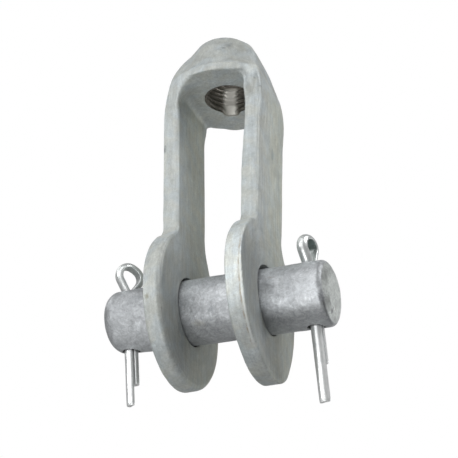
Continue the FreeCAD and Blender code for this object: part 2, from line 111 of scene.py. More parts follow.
def block(x, y, h, flare):
    """The strap's outer block: arms that widen into the head's foot, round ears at the bottom."""
    up = np.maximum(h - 100, 0)
    b = DEPTH - 0.0339 * up ** 1.83 + 0.25 * ramp(h, 97, 104)
    b = b + ramp(y, 4, 12) * ramp(h, 24, 45) * np.where(x > 0, 1.3 * (1 - ramp(h, 99, 108)), 1.1 * (1 - ramp(h, 78, 92)))
    if flare:
        foot = FOOT - 0.25 * np.maximum(h - UNDER, 0)
        b = b + np.maximum(np.sqrt(np.maximum(foot * foot - x * x, 0)) - DEPTH, 0) * ramp(h, 83, 95.5)
    arm = (np.abs(y) - b) / np.sqrt(1 + (0.062 * up ** 0.83) ** 2)
    corner = np.clip(2 * y * h / np.maximum(y * y + h * h, 1), -1, 1)
    ear = np.where(x > 0, np.hypot(y + 0.1, h + 0.35) - 31.9 + 0.6 * np.maximum(corner, 0) * (y < 0)
                   - np.maximum(-corner, 0) * np.where(y < 0, 0.6, 0.35),
                   np.hypot(y + 0.45, h - 0.15) - 31.25 - 0.3 * np.maximum(corner, 0) * (y < 0) + 0.4 * np.maximum(-corner, 0) * (h < 0))
    neck = np.where(x > 0, 2.6 + 1.6 * ramp(y, -5, 5), 3.7 + 9.0 * ramp(y, -5, 5))
    side = either(np.maximum(arm, -h), ear, neck)
    return both(sides(x, y, h), side, 0.85 + 0.25 * ramp(h, 24, 34) + (0.9 + 1.1 * (x > 0) * (y < 0)) * ramp(h, 92, 104))


def cone(x, y, h):
    """The head: an upright band round its foot and a taper above it, flat where the arms come up."""
    side = np.abs(x + 0.5) - 4
    pinch = 0.26 * (side + np.sqrt(side * side + 4)) * ramp(y, 6, 14) * (1 - ramp(h, 101, 106))
    rho = pinch + np.hypot(x - 0.75 * ramp(h, 101, 111) * (1 - 0.3 * ramp(h, 113, 120)), y)
    slope = (21.6 - CROWN) / (TOP - 100)
    c = (rho - np.minimum(21.6 - slope * (h - 100), 21.4)) / math.sqrt(1 + slope * slope)
    rim = pinch - 1.1 * ramp(y, 11, 20) + np.hypot(x + 0.9 * ramp(y, 4, 16), y)
    band = both(rim - FOOT + 0.25 * (h - UNDER), h - BAND - 0.2, 0.8)
    return both(either(c, band, 1.2 + 2.0 * ramp(np.abs(x), 8, 14)), sides(x, y, h), 2.5 + 1.5 * (x > 0))


def notch(x, y, h):
    """Where the thread breaks out through the underside: a lip at the back of the hole."""
    t = np.arctan2(y - BORE_Y, x - BORE_X) - math.radians(106)
    return 2.9 * np.exp(-(t / 0.31) ** 4) * (1 - ramp(h, UNDER, UNDER + 4.5))


def yoke(x, y, h):
    c = cone(x, y, h)
    blend = either(block(x, y, h, False), c, 0.3 + 1.9 * ramp(h, 101, 105))
    head = both(both(blend, h - TOP, 1.4 + 0.7 * ramp(x, 2, 10)), UNDER - h, 0.8)
    inner = INNER + 1.0 * ramp(h, 28, 92) + (x > 0) * (0.85 * splay(y, h) - 0.25 - 0.37 * (1 - ramp(h, -12, 14)) - 0.35 * ramp(h, 20, 36)) * (1 - ramp(h, 55, 80))
    inner = inner - 0.8 * (x < 0) * (1 - ramp(h, 14, 36))
    corner = 3.0 - 1.3 * ramp(y, 4, 14) + ramp(-y, 6, 18) * (-0.4 + 7.0 * ramp(-x, -2, 3))
    gap = both(np.abs(x - shift(h)) - inner, h - UNDER, corner)
    arms = np.maximum(both(block(x, y, h, True), -gap, 0.75 + 1.7 * (x < 0) * (1 - ramp(h, 8, 30)) + 0.3 * ramp(h, 24, 34) + 0.6 * ramp(h, 84, 92)), h - BAND + 1.5)
    s = np.minimum(head, arms)
    s = both(s, HOLE + 0.3 * (x > 0) - np.hypot(y - 0.2 * (x > 0), h + 0.05 * (x > 0)), 0.4)
    return both(s, BORE + notch(x, y, h) - np.hypot(x - BORE_X, y - BORE_Y) - 200 * (h < 60), 0.3)


def bar(x, y, h):
    """The clevis pin, in its own upright frame: bevelled ends and a cross hole near each end."""
    rho = np.hypot(y, h)
    r = 12.87 + 0.15 * np.exp(-(x / 10) ** 2) + 0.08 * ramp(x, 22, 34) - 0.55 * ramp(-x, 22, 45)
    end = np.abs(x + 0.12) - 46.22
    s = both(rho - r, 0.9156 * end + 0.403 * (rho - r + 4.9), 1.5 + 1.5 * (x < 0))
    s = both(s, end, 0.8)
    return both(s, 3.4 - np.hypot(x - np.where(x > 0, 37.5, -38.4), y), 0.4)


# ---------------------------------------------------------------- surfaces from fields

def field_mesh(f, lo, hi, step):
    """Vertices and quads of the surface f = 0 on a regular grid (one vertex per crossed cell)."""
    n = [int(math.ceil((b - a) / step)) + 1 for a, b in zip(lo, hi)]
    ax = [np.float32(a) + np.float32(step) * np.arange(m, dtype=np.float32) for a, m in zip(lo, n)]
    F = np.empty(n, np.float32)
    slab = 24
    for i in range(0, n[0], slab):
        X, Y, Z = np.meshgrid(ax[0][i:i + slab], ax[1], ax[2], indexing="ij")
        F[i:i + slab] = f(X, Y, Z)
    S = F < 0
    cnt = np.zeros([m - 1 for m in n], np.int8)
    for dx in (0, 1):
        for dy in (0, 1):
            for dz in (0, 1):
                cnt += S[dx:n[0] - 1 + dx, dy:n[1] - 1 + dy, dz:n[2] - 1 + dz]
    I, J, K = np.nonzero((cnt > 0) & (cnt < 8))
    index = np.full(cnt.shape, -1, np.int32)
    index[I, J, K] = np.arange(len(I))
    corners = [(a, b, c) for a in (0, 1) for b in (0, 1) for c in (0, 1)]
    V = {c: F[I + c[0], J + c[1], K + c[2]] for c in corners}
    total = np.zeros((len(I), 3))
    hits = np.zeros(len(I))
    for c in corners:
        for d in range(3):
            if c[d] == 0:
                e = list(c)
                e[d] = 1
                e = tuple(e)
                va, vb = V[c], V[e]
                m = (va < 0) != (vb < 0)
                t = np.where(m, va / np.where(m, va - vb, 1), 0)
                p = np.array(c, float)[None, :] + np.zeros((len(I), 3))
                p[:, d] += t
                total += p * m[:, None]
                hits += m
    P = total / hits[:, None]
    P = (P + np.stack([I, J, K], 1)) * step + np.array(lo, float)
    quads = []
    for d in range(3):
        a, b = [k for k in range(3) if k != d]
        sl0 = [slice(None)] * 3
        sl1 = [slice(None)] * 3
        sl0[d] = slice(0, -1)
        sl1[d] = slice(1, None)
        s0, s1 = S[tuple(sl0)], S[tuple(sl1)]
        E = np.argwhere(s0 != s1)
        ok = (E[:, a] > 0) & (E[:, b] > 0) & (E[:, a] < n[a] - 1) & (E[:, b] < n[b] - 1)
        E = E[ok]
        flip = s0[tuple(E.T)]
        off = []
        for da, db in ((-1, -1), (0, -1), (0, 0), (-1, 0)):
            q = E.copy()
            q[:, a] += da
            q[:, b] += db
            off.append(index[tuple(q.T)])
        Q = np.stack(off, 1)
        if d == 1:
            flip = ~flip
        Q[~flip] = Q[~flip][:, ::-1]
        quads.append(Q)
    return P, np.concatenate(quads)


def gradient(f, P, e=0.05):
    g = np.empty_like(P)
    for d in range(3):
        a, b = P.copy(), P.copy()
        a[:, d] += e
        b[:, d] -= e
        g[:, d] = (f(*a.T) - f(*b.T)) / (2 * e)
    return g


def settle(f, P, rounds=4, step=0.4):
    for _ in range(rounds):
        v = f(*P.T)
        g = gradient(f, P)
        n2 = np.maximum((g * g).sum(1), 0.05)
        m = g * (v / n2)[:, None]
        size = np.linalg.norm(m, axis=1)
        m *= np.minimum(1, step / np.maximum(size, 1e-9))[:, None]
        P = P - m
    return P


def neighbours(Q, count):
    e = np.concatenate([Q[:, [0, 1]], Q[:, [1, 2]], Q[:, [2, 3]], Q[:, [3, 0]]])
    e = np.unique(np.sort(e, axis=1), axis=0)
    a = np.concatenate([e[:, 0], e[:, 1]])
    b = np.concatenate([e[:, 1], e[:, 0]])
    deg = np.bincount(a, minlength=count)
    return a, b, deg


def relax(P, Q, weight, rounds):
    """Smooths the vertices where weight is above 0, so that seams there run into each other."""
    a, b, deg = neighbours(Q, len(P))
    near = weight[a] > 0
    a, b = a[near], b[near]
    deg = np.maximum(deg, 1)
    P = P.copy()
    for _ in range(rounds):
        m = np.stack([np.bincount(a, P[b, d], minlength=len(P)) for d in range(3)], 1) / deg[:, None]
        P = np.where(weight[:, None] > 0, P + (m - P) * (0.5 * weight)[:, None], P)
    return P


def vertex_normals(P, Q):
    n = np.cross(P[Q[:, 2]] - P[Q[:, 0]], P[Q[:, 3]] - P[Q[:, 1]])
    N = np.zeros_like(P)
    for c in range(4):
        for d in range(3):
            N[:, d] += np.bincount(Q[:, c], n[:, d], minlength=len(P))
    return N / np.maximum(np.linalg.norm(N, axis=1), 1e-12)[:, None]


def make_mesh(name, P, Q, material, normals=None, shades=None):
    me = bpy.data.meshes.new(name)
    sides = Q.shape[1]
    me.vertices.add(len(P))
    me.vertices.foreach_set("co", np.ascontiguousarray(P, np.float32).ravel())
    me.loops.add(Q.size)
    me.loops.foreach_set("vertex_index", np.ascontiguousarray(Q, np.int32).ravel())
    me.polygons.add(len(Q))
    me.polygons.foreach_set("loop_start", np.arange(0, Q.size, sides, dtype=np.int32))
    me.polygons.foreach_set("use_smooth", np.ones(len(Q), bool))
    me.update(calc_edges=True)
    me.validate()
    for key, value in (shades or {}).items():
        at = me.attributes.new(key, "FLOAT", "POINT")
        at.data.foreach_set("value", np.ascontiguousarray(value, np.float32))
    if normals is not None:
        me.normals_split_custom_set_from_vertices([tuple(n) for n in normals.tolist()])
    me.materials.append(material)
    ob = bpy.data.objects.new(name, me)
    bpy.context.scene.collection.objects.link(ob)
    return ob


# ---------------------------------------------------------------- materials

class Nodes:
    def __init__(self, name):
        self.mat = bpy.data.materials.new(name)
        self.mat.use_nodes = True
        self.t = self.mat.node_tree
        self.t.nodes.clear()
        self.out = self.t.nodes.new("ShaderNodeOutputMaterial")
        self.bsdf = self.t.nodes.new("ShaderNodeBsdfPrincipled")
        self.t.links.new(self.bsdf.outputs[0], self.out.inputs[0])
        co = self.t.nodes.new("ShaderNodeTexCoord")
        self.co = co.outputs["Object"]

    def link(self, a, b):
        self.t.links.new(a, b)

    def scaled(self, s, move=(0, 0, 0), turn=(0, 0, 0)):
        m = self.t.nodes.new("ShaderNodeMapping")
        m.inputs["Scale"].default_value = s if isinstance(s, tuple) else (s, s, s)
        m.inputs["Location"].default_value = move
        m.inputs["Rotation"].default_value = turn
        self.link(self.co, m.inputs["Vector"])
        return m.outputs[0]

    def noise(self, vec, scale, detail=4, rough=0.5, distort=0.0):
        n = self.t.nodes.new("ShaderNodeTexNoise")
        n.inputs["Scale"].default_value = scale
        n.inputs["Detail"].default_value = detail
        n.inputs["Roughness"].default_value = rough
        n.inputs["Distortion"].default_value = distort
        self.link(vec, n.inputs["Vector"])
        return n.outputs["Fac"]

    def voronoi(self, vec, scale, feature="F1", what="Color", random=1.0):
        n = self.t.nodes.new("ShaderNodeTexVoronoi")
        n.feature = feature
        n.inputs["Scale"].default_value = scale
        n.inputs["Randomness"].default_value = random
        self.link(vec, n.inputs["Vector"])
        return n.outputs[what]

    def math(self, op, a, b=None, c=None, clamp=False):
        n = self.t.nodes.new("ShaderNodeMath")
        n.operation = op
        n.use_clamp = clamp
        for i, v in enumerate((a, b, c)):
            if v is None:
                continue
            if isinstance(v, (int, float)):
                n.inputs[i].default_value = v
            else:
                self.link(v, n.inputs[i])
        return n.outputs[0]

    def span(self, v, lo, hi, a=0.0, b=1.0):
        n = self.t.nodes.new("ShaderNodeMapRange")
        n.clamp = True
        n.inputs[1].default_value = lo
        n.inputs[2].default_value = hi
        n.inputs[3].default_value = a
        n.inputs[4].default_value = b
        self.link(v, n.inputs[0])
        return n.outputs[0]

    def mix(self, f, a, b, how="MIX"):
        n = self.t.nodes.new("ShaderNodeMix")
        n.data_type = "RGBA"
        n.blend_type = how
        for i, v in ((0, f), (6, a), (7, b)):
            if isinstance(v, tuple):
                n.inputs[i].default_value = v + (1.0,) if len(v) == 3 else v
            elif isinstance(v, (int, float)):
                n.inputs[i].default_value = v
            else:
                self.link(v, n.inputs[i])
        return n.outputs[2]

    def attribute(self, name):
        n = self.t.nodes.new("ShaderNodeAttribute")
        n.attribute_name = name
        return n.outputs["Fac"]

    def bump(self, h, strength, distance, under=None):
        n = self.t.nodes.new("ShaderNodeBump")
        n.inputs["Strength"].default_value = strength
        n.inputs["Distance"].default_value = distance
        self.link(h, n.inputs["Height"])
        if under is not None:
            self.link(under, n.inputs["Normal"])
        return n.outputs[0]


def spot(k, at, size, wobble=None):
    """1 at a point on the part, falling to 0 over size (mm in x, y and z)."""
    v = k.t.nodes.new("ShaderNodeVectorMath")
    v.operation = "SUBTRACT"
    k.link(k.co, v.inputs[0])
    v.inputs[1].default_value = tuple(c * MM for c in at)
    d = k.t.nodes.new("ShaderNodeVectorMath")
    d.operation = "DIVIDE"
    k.link(v.outputs[0], d.inputs[0])
    d.inputs[1].default_value = tuple(c * MM for c in size)
    n = k.t.nodes.new("ShaderNodeVectorMath")
    n.operation = "LENGTH"
    k.link(d.outputs[0], n.inputs[0])
    r = n.outputs["Value"]
    if wobble is not None:
        r = k.math("ADD", r, k.span(wobble, 0.3, 0.7, -0.45, 0.45))
    return k.span(r, 0.35, 1.15, 1.0, 0.0)


def mottled(k, light, dark, grain, vec=None):
    """A grey skin of soft patches, clouds, specks and fine grain; returns the colour and two of its noises."""
    v = k.scaled(1000.0) if vec is None else vec
    patch = k.noise(v, 0.085, 5, 0.62, 0.6)
    cloud = k.noise(v, 0.33, 4, 0.6, 0.9)
    speck = k.noise(v, 0.95, 3, 0.6, 0.4)
    fine = k.noise(v, 2.1, 3, 0.65)
    f = k.math("ADD", k.math("MULTIPLY", k.span(patch, 0.35, 0.65), 0.40),
               k.math("ADD", k.math("MULTIPLY", k.span(cloud, 0.33, 0.67), 0.38),
                      k.math("MULTIPLY", k.span(speck, 0.33, 0.67), 0.22)))
    base = k.mix(f, dark, light)
    base = k.mix(1.0, base, k.span(fine, 0.3, 0.7, 1 - grain, 1 + grain), "MULTIPLY")
    return base, cloud, speck


# the yoke: dull hot-dip zinc
k = Nodes("galvanised_forging")
base, cloud, speck = mottled(k, (0.560, 0.592, 0.584), (0.380, 0.402, 0.392), 0.10)
run = k.noise(k.scaled((1000.0, 1000.0, 100.0), (3, 5, 0)), 0.75, 4, 0.65, 0.3)
base = k.mix(1.0, base, k.span(run, 0.3, 0.7, 0.87, 1.13), "MULTIPLY")
# round the ears the streaks follow the rim
sep = k.t.nodes.new("ShaderNodeSeparateXYZ")
k.link(k.co, sep.inputs[0])
up = k.math("ADD", sep.outputs["Z"], -EYE * MM)
turned = k.math("MULTIPLY", k.math("ARCTAN2", sep.outputs["Y"], up), 2.2)
radius = k.math("MULTIPLY", k.math("SQRT", k.math("ADD", k.math("MULTIPLY", sep.outputs["Y"], sep.outputs["Y"]),
                                                   k.math("MULTIPLY", up, up))), 700.0)
com = k.t.nodes.new("ShaderNodeCombineXYZ")
k.link(k.math("MULTIPLY", sep.outputs["X"], 1600.0), com.inputs[0])
k.link(radius, com.inputs[1])
k.link(turned, com.inputs[2])
grooves = k.noise(com.outputs[0], 0.8, 4, 0.6, 0.2)
low = k.span(sep.outputs["Z"], -0.094, -0.086, 1.0, 0.0)
base = k.mix(k.math("MULTIPLY", low, 0.9), base, k.mix(1.0, base, k.span(grooves, 0.3, 0.7, 0.91, 1.09), "MULTIPLY"))
# a pressed line near the outer edge of the right ear's rim, drawn with painted shade in its groove and a painted
# highlight on its ridge, besides a bump
shaky = k.math("ADD", k.math("MULTIPLY", sep.outputs["X"], 1000.0),
               k.span(k.noise(k.scaled(1000.0), 0.2, 2), 0.3, 0.7, -0.12, 0.12))
line = k.attribute("line")
groove = k.math("MULTIPLY", line, k.span(k.math("ABSOLUTE", k.math("ADD", shaky, -19.0)), 0.10, 0.50, 1.0, 0.0))
ridge = k.math("MULTIPLY", line, k.span(k.math("ABSOLUTE", k.math("ADD", shaky, -19.8)), 0.20, 0.75, 1.0, 0.0))
base = k.mix(k.math("MULTIPLY", ridge, 0.42), base, (0.72, 0.74, 0.72))
broken = k.span(k.noise(k.scaled(1000.0, (2, 1, 5)), 0.45, 3), 0.42, 0.60, 0.20, 0.85)
base = k.mix(k.math("MULTIPLY", groove, broken), base, (0.31, 0.26, 0.20))
# cool and warm casts
tintn = k.noise(k.scaled(1000.0, (31, 7, 3)), 0.16, 3, 0.5, 0.5)
base = k.mix(1.0, base, k.mix(k.span(tintn, 0.38, 0.62), (0.97, 0.995, 1.03), (1.02, 1.00, 0.965)), "MULTIPLY")
base = k.mix(k.attribute("warm"), base, k.mix(1.0, base, (1.01, 1.005, 0.935), "MULTIPLY"))
# the tone attribute carries painted light and shade, multiplied into the colour
painted_shading_tone = k.attribute("painted_shading_tone")
base = k.mix(1.0, base, painted_shading_tone, "MULTIPLY")
# marks: nicks, smudges and specks of rust where they sit on the part
grey, rust = (0.20, 0.22, 0.22), (0.30, 0.20, 0.13)
wob = k.noise(k.scaled(1000.0, (9, 9, 9)), 0.9, 3)
for at, dims, colour, strength in (
        ((5.3, -15.5, -8.9), (1.1, 1.5, 0.9), grey, 0.55), ((6.7, -14.8, -7.1), (1.2, 1.5, 1.1), grey, 0.50),
        ((7.8, -14.2, -5.6), (0.9, 1.5, 1.0), grey, 0.40),
        ((18.1, -14.0, -25.3), (0.5, 1.0, 0.9), grey, 0.55), ((20.3, -13.4, -29.5), (0.8, 1.0, 0.5), grey, 0.75),
        ((-20.4, -13.7, -51.7), (0.8, 0.9, 2.2), grey, 0.75), ((-16.8, -14.0, -67.8), (0.9, 1.0, 1.5), grey, 0.30),
        ((17.7, -14.0, -62.4), (1.1, 1.0, 1.5), grey, 0.25), ((20.1, 2.2, -53.6), (1.0, 1.6, 4.0), (0.26, 0.31, 0.32), 0.50),
        ((20.1, 3.0, -44.0), (1.0, 0.9, 6.0), (0.28, 0.33, 0.34), 0.30),
        ((19.7, -25.6, -135.2), (0.6, 0.9, 1.6), rust, 0.55), ((19.6, -24.6, -138.4), (0.6, 0.7, 1.2), rust, 0.60),
        ((18.7, -28.0, -131.6), (0.5, 1.0, 2.2), rust, 0.50), ((-17.9, -30.8, -128.0), (0.9, 1.0, 1.5), (0.25, 0.24, 0.17), 0.55),
        ((19.8, 0.9, -151.2), (0.8, 1.2, 1.2), grey, 0.50)):
    base = k.mix(k.math("MULTIPLY", spot(k, at, dims, wob), strength), base, colour)
k.link(base, k.bsdf.inputs["Base Color"])
k.bsdf.inputs["Metallic"].default_value = 0.35
k.link(k.span(cloud, 0.3, 0.7, 0.48, 0.64), k.bsdf.inputs["Roughness"])
n1 = k.bump(k.noise(k.scaled(1000.0), 0.22, 3, 0.5), 1.0, 0.25 * MM)
n2 = k.bump(k.noise(k.scaled(1000.0), 1.2, 4, 0.65), 1.0, 0.05 * MM, n1)
n3 = k.bump(k.math("MULTIPLY", grooves, low), 1.0, 0.10 * MM, n2)
n4 = k.bump(k.math("SUBTRACT", ridge, groove), 1.0, 0.07 * MM, n3)
k.link(n4, k.bsdf.inputs["Normal"])
yoke_k = k

# the pin: rolled bar under a livelier zinc skin
k = Nodes("galvanised_bar")
base, cloud, speck = mottled(k, (0.600, 0.622, 0.640), (0.375, 0.392, 0.410), 0.07)
swirl = k.noise(k.scaled(1000.0, (4, 2, 8)), 0.42, 3, 0.55, 2.2)
base = k.mix(1.0, base, k.span(swirl, 0.35, 0.65, 0.84, 1.14), "MULTIPLY")
# the tone attribute carries painted light and shade, with some grain of the zinc, multiplied into the colour
base = k.mix(1.0, base, k.attribute("painted_shading_tone"), "MULTIPLY")
base = k.mix(k.attribute("end"), base, k.mix(1.0, base, (1.02, 1.03, 0.97), "MULTIPLY"))
wob = k.noise(k.scaled(1000.0, (9, 9, 9)), 0.9, 3)
for at, dims, colour, strength in (
        ((45.8, -1.7, -130.6), (1.0, 1.3, 1.6), (0.14, 0.14, 0.15), 0.80), ((45.6, 0.6, -128.0), (1.0, 0.9, 1.5), (0.30, 0.24, 0.23), 0.50),
        ((45.7, 3.2, -131.6), (1.0, 1.3, 1.1), (0.20, 0.19, 0.20), 0.45), ((43.6, -9.5, -127.8), (1.6, 2.2, 2.2), (0.20, 0.21, 0.23), 0.62),
        ((24.5, -12.0, -117.5), (2.4, 2.0, 0.7), (0.36, 0.33, 0.31), 0.40), ((0.5, -11.2, -126.5), (2.0, 2.0, 1.3), (0.25, 0.27, 0.29), 0.40),
        ((-30.0, -12.0, -117.0), (3.0, 2.0, 1.6), (0.30, 0.32, 0.34), 0.30), ((-6.0, -8.0, -130.4), (3.0, 2.5, 1.4), (0.34, 0.33, 0.28), 0.40)):
    base = k.mix(k.math("MULTIPLY", spot(k, at, dims, wob), strength), base, colour)
k.link(base, k.bsdf.inputs["Base Color"])
k.bsdf.inputs["Metallic"].default_value = 0.72
k.link(k.span(speck, 0.3, 0.7, 0.36, 0.54), k.bsdf.inputs["Roughness"])
n1 = k.bump(k.noise(k.scaled(1000.0), 0.30, 3, 0.5), 1.0, 0.28 * MM)
n2 = k.bump(k.noise(k.scaled(1000.0), 1.0, 4, 0.65), 1.0, 0.10 * MM, n1)
k.link(n2, k.bsdf.inputs["Normal"])
bar_k = k

k = Nodes("bright_zinc_wire")
k.bsdf.inputs["Metallic"].default_value = 0.80
base = k.mix(k.span(k.noise(k.scaled(1000.0), 0.6, 3), 0.3, 0.7), (0.86, 0.885, 0.885), (0.98, 0.99, 0.99))
# the inner attribute mixes in a dark green-grey: painted shade inside and over the eye
k.link(k.mix(k.attribute("inner"), base, (0.16, 0.22, 0.20)), k.bsdf.inputs["Base Color"])
k.link(k.span(k.noise(k.scaled(1000.0), 0.4, 3), 0.3, 0.7, 0.30, 0.38), k.bsdf.inputs["Roughness"])
wire_k = k

k = Nodes("cut_steel_thread")
k.link(k.span(k.attribute("worn"), 0.0, 1.0, 1.0, 0.25), k.bsdf.inputs["Metallic"])
steel = k.mix(k.span(k.noise(k.scaled(1000.0), 0.6, 4), 0.3, 0.7), (0.15, 0.14, 0.12), (0.25, 0.235, 0.21))
sep = k.t.nodes.new("ShaderNodeSeparateXYZ")
k.link(k.co, sep.inputs[0])
# painted light and shade on the worn strip: lighter higher up the bore, darker near the notch, over its own
# bare-metal colour
bright = k.mix(1.0, (0.60, 0.585, 0.54), k.span(sep.outputs["Z"], -0.0199, -0.0187, 0.94, 1.27), "MULTIPLY")
steel = k.mix(k.attribute("worn"), steel, bright)
k.link(steel, k.bsdf.inputs["Base Color"])
k.link(k.span(k.noise(k.scaled(1000.0), 1.1, 3), 0.3, 0.7, 0.38, 0.52), k.bsdf.inputs["Roughness"])
k.link(k.bump(k.noise(k.scaled(1000.0), 3.0, 3), 1.0, 0.02 * MM), k.bsdf.inputs["Normal"])
thread_k = k


# ---------------------------------------------------------------- the yoke

STEP = 0.5
P, Q = field_mesh(yoke, (-21.6, -33.2, -33.2), (21.6, 33.2, 121.5), STEP)
P = settle(yoke, P)
a, c = block(*P.T, False), cone(*P.T)
h = P[:, 2]
outside = np.hypot(P[:, 0] - BORE_X, P[:, 1] - BORE_Y) > BORE + 0.8 + notch(*P.T)
seam = np.exp(-((a - c) / 2.0) ** 2) * ramp(h, 100.0, 102.5) * (1 - ramp(h, 117.5, 119))
lip = ramp(h, 91, 94) * (1 - ramp(h, 99.0, 100.6)) * ramp(-P[:, 1], 11, 13) * (
    ramp(-P[:, 0], 8.0, 10.5) + ramp(P[:, 0], 12.0, 14.0)) * (1 - ramp(np.abs(P[:, 0]), 18.0, 19.5))
P = relax(P, Q, np.clip(seam + lip, 0, 1) * outside, int(50 * (0.5 / STEP) ** 2))
N = vertex_normals(P, Q)
ripple = waves(7, (14, 45), 18)
pits = waves(11, (3.5, 8), 26)
P = P + N * (0.10 * ripple(*P.T) + 0.035 * pits(*P.T))[:, None] * outside[:, None]
N = vertex_normals(P, Q)
x, y, h = P.T
front = ramp(-y, 2, 10)
flat = ramp(np.abs(N[:, 0]), 0.45, 0.85)
rim = (1 - flat) * ramp(np.hypot(y, h), 28.5, 30.5) * (1 - ramp(h, 22, 34))
inside_arm = flat * ramp(-N[:, 0] * np.sign(x), 0.4, 0.8) * ramp(h, 30, 60)
# painted shade and light: flat side faces painted darker low down and lighter higher up, as light falls on them;
# inner arm faces a little lighter
painted_shading_tone = 1 + flat * (-0.19 - 0.12 * np.exp(-((h - 2) / 18) ** 2) + 0.18 * ramp(h, 2, 26) + 0.12 * ramp(h, 22, 50)) + 0.03 * inside_arm
# painted shade: the head above the band darker
painted_shading_tone = painted_shading_tone * (1 - 0.12 * ramp(h, 101.2, 103.0))
# painted shade on the lower rims of the ears, and a painted highlight (glare) on the front of the right ear's rim
lower = 1 - np.where(x > 0, 0.25 * ramp(-h, 9, 20), 0.16 * ramp(-h, 14, 26))
glare = 1 + 0.42 * (x > 0) * ramp(h, -24, -12) * (1 - ramp(h, 8, 26)) * front
painted_shading_tone = painted_shading_tone * (1 + rim * (lower * glare - 1))
# painted shade: a slight darkening on the front of the band
painted_shading_tone = painted_shading_tone * (1 - 0.03 * ramp(h, UNDER, UNDER + 1.5) * (1 - ramp(h, BAND - 0.5, BAND + 1)) * front)
# painted shade over the highlight on the right arm's outer front edge
painted_shading_tone = painted_shading_tone * (1 - 0.16 * (x > 0) * ramp(h, 14, 30) * ramp(np.abs(N[:, 0] * N[:, 1]), 0.2, 0.5) * front * ramp(N[:, 0], 0, 0.3))
# painted shade over the highlight on the right shoulder's edge
painted_shading_tone = painted_shading_tone * (1 - 0.12 * np.exp(-((x - 19.3) / 1.0) ** 2) * ramp(h, 86, 92) * (1 - ramp(h, 106, 110)) * front)
# painted shade on the right ear's outer face near its rim
painted_shading_tone = painted_shading_tone * (1 - (0.03 + 0.09 * np.exp(-((y + 25) / 6) ** 2 - ((h + 2) / 14) ** 2)) * flat * ramp(N[:, 0], 0.4, 0.8) * (x > 0) * (1 - ramp(h, 22, 34)))
# painted shade where the left ear turns in towards the rim; its flat inner face a touch lighter
turned_in = (x < 0) * ramp(N[:, 0], 0.12, 0.45) * (1 - ramp(h, 22, 36))
painted_shading_tone = painted_shading_tone * (1 - 0.20 * turned_in * (1 - ramp(N[:, 0], 0.80, 0.97)) * front + 0.035 * turned_in * flat)
# painted shade inside the ear's hole for the pin
eye = (1 - ramp(np.hypot(y - 0.2 * (x > 0), h), 14.0, 14.5)) * (1 - ramp(np.abs(N[:, 0]), 0.3, 0.7))
painted_shading_tone = painted_shading_tone * (1 - 0.55 * eye)
warm = flat * ramp(y, -12, 6) * (1 - ramp(h, 92, 100))
# where the pressed line runs, whose groove and ridge carry painted shade and highlight
line = (x > 0) * rim * front * ramp(h, -29, -24) * (1 - ramp(h, 6, 16))
shades = {"painted_shading_tone": painted_shading_tone, "warm": warm, "line": line}
P = P + np.array([0, 0, EYE])
cut = P[Q[:, 0], 2] > -62
for name, part in (("yoke_head", cut), ("yoke_ears", ~cut)):
    q = Q[part]
    used, inv = np.unique(q, return_inverse=True)
    ob = make_mesh(name, P[used] * MM, inv.reshape(q.shape), yoke_k.mat, N[used],
                   {key: value[used] for key, value in shades.items()})
    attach(ob, "yoke")
    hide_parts("clevis_yoke")

# ---------------------------------------------------------------- the thread in the head

PITCH = 25.4 / 12
rows, cols = 300, 144
depth = TOP - UNDER
zz = np.linspace(0.15, depth - 0.15, rows)
th = np.linspace(0, 2 * np.pi, cols, endpoint=False)
Z, T = np.meshgrid(zz, th, indexing="ij")
phase = (Z / PITCH - T / (2 * np.pi)) % 1.0
ridge = ramp(1 - np.abs(2 * phase - 1), 0.10, 0.90)
fade = ramp(Z, 0.0, 0.5) * (1 - ramp(Z, depth - 1.6, depth - 0.1))
worn = np.exp(-(((T - math.radians(108.5)) / 0.29) ** 6)) * (1 - ramp(UNDER + 0.5 + Z, 108.2, 110.2))
R = 10.12 - 0.9 * ridge * fade * (1 - 0.93 * worn)
R = R + notch(BORE_X + np.cos(T), BORE_Y + np.sin(T), UNDER + Z) - 0.25 * (1 - ramp(Z, 0.0, 1.0)) * worn
inner = np.stack([BORE_X + R * np.cos(T), BORE_Y + R * np.sin(T), EYE + UNDER + Z], -1).reshape(-1, 3)
ro = np.where(Z > depth / 2, 10.7, 10.9 + notch(BORE_X + np.cos(T), BORE_Y + np.sin(T), UNDER + 0 * Z))
outer = np.stack([BORE_X + ro * np.cos(T), BORE_Y + ro * np.sin(T), EYE + UNDER + 0.5 + Z * (depth - 1.5) / depth],
                 -1)
outer = outer[[0, -1]].reshape(-1, 3)
i, j = np.meshgrid(np.arange(rows - 1), np.arange(cols), indexing="ij")
q = np.stack([i * cols + j, (i + 1) * cols + j, (i + 1) * cols + (j + 1) % cols, i * cols + (j + 1) % cols],
             -1).reshape(-1, 4)
o0 = rows * cols
jj = np.arange(cols)
j1 = (jj + 1) % cols
low = np.stack([jj, j1, o0 + j1, o0 + jj], 1)
top0 = (rows - 1) * cols
high = np.stack([top0 + j1, top0 + jj, o0 + cols + jj, o0 + cols + j1], 1)
skin = np.stack([o0 + jj, o0 + j1, o0 + cols + j1, o0 + cols + jj], 1)
allq = np.concatenate([q, low, high, skin])
shade = np.concatenate([worn.ravel(), np.zeros(2 * cols)])
ob = make_mesh("rod_thread", np.concatenate([inner, outer]) * MM, allq, thread_k.mat, None, {"worn": shade})
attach(ob, "yoke")

# ---------------------------------------------------------------- the pin

# The pin lies loose in its eyes: it has dropped back on them, its right end a little more.
SAG = np.array([0, 0.5, -0.866])


def sag(x):
    return 0.48 + 0.016 * x


